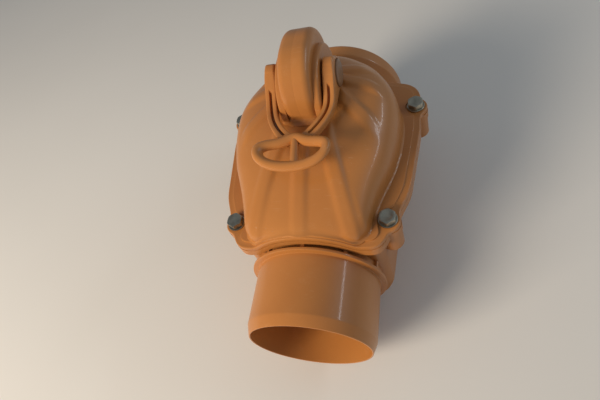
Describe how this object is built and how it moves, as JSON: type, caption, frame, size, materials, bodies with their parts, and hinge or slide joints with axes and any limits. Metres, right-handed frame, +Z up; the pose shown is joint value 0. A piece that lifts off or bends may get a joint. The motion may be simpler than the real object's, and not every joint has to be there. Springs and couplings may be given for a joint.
{
  "type": "backwater valve",
  "caption": "Plastic backwater valve for a drain pipe: spigot, socket, hinged flap, bolted dome cover and a forked lever that locks the flap shut.",
  "frame": {"origin": "on the pipe axis, at the pipe stop of the inlet socket", "axes": "+Y along the pipe towards the inlet socket, +Z up to the lever, +X to the right when looking along +Y"},
  "size_m": [0.196, 0.3, 0.2264],
  "materials": {
    "body_plastic": "moulded, slightly glossy",
    "cover_plastic": "moulded, glossy",
    "lever_plastic": "moulded, glossy",
    "cap_plastic": "moulded, satin",
    "inner_plastic": "moulded, satin",
    "seal_rubber": "matt black",
    "steel": "drawn",
    "bolt_zinc": "zinc plated"
  },
  "bodies": {
    "valve": {"valve_body": "body_plastic", "outlet_spigot": "body_plastic", "inlet_socket": "body_plastic", "socket_seal": "seal_rubber", "seat_insert": "inner_plastic", "seat_gasket": "seal_rubber", "seat_screws": "steel", "hinge_pin": "steel", "hinge_clips": "steel", "cover_gasket": "seal_rubber", "cover": "cover_plastic", "cover_bolts": "bolt_zinc", "cover_washers": "bolt_zinc", "cover_nuts": "bolt_zinc", "shaft_seals": "seal_rubber"},
    "flap": {"flap": "inner_plastic", "flap_seal": "seal_rubber", "seal_clamp": "inner_plastic", "clamp_screws": "steel"},
    "lever": {"lever": "lever_plastic", "lever_shaft": "steel", "lock_finger": "inner_plastic", "finger_pin": "steel", "cap_right": "cap_plastic", "cap_left": "cap_plastic"}
  },
  "joints": [
    {"name": "flap_swing", "type": "hinge", "parent": "valve", "child": "flap", "pos_m": [0, -0.023, 0.06], "axis": [-1, 0, 0], "range_deg": [0, 70]},
    {"name": "lever_turn", "type": "hinge", "parent": "valve", "child": "lever", "pos_m": [0, -0.042, 0.117], "axis": [-1, 0, 0], "range_deg": [0, 135]}
  ]
}
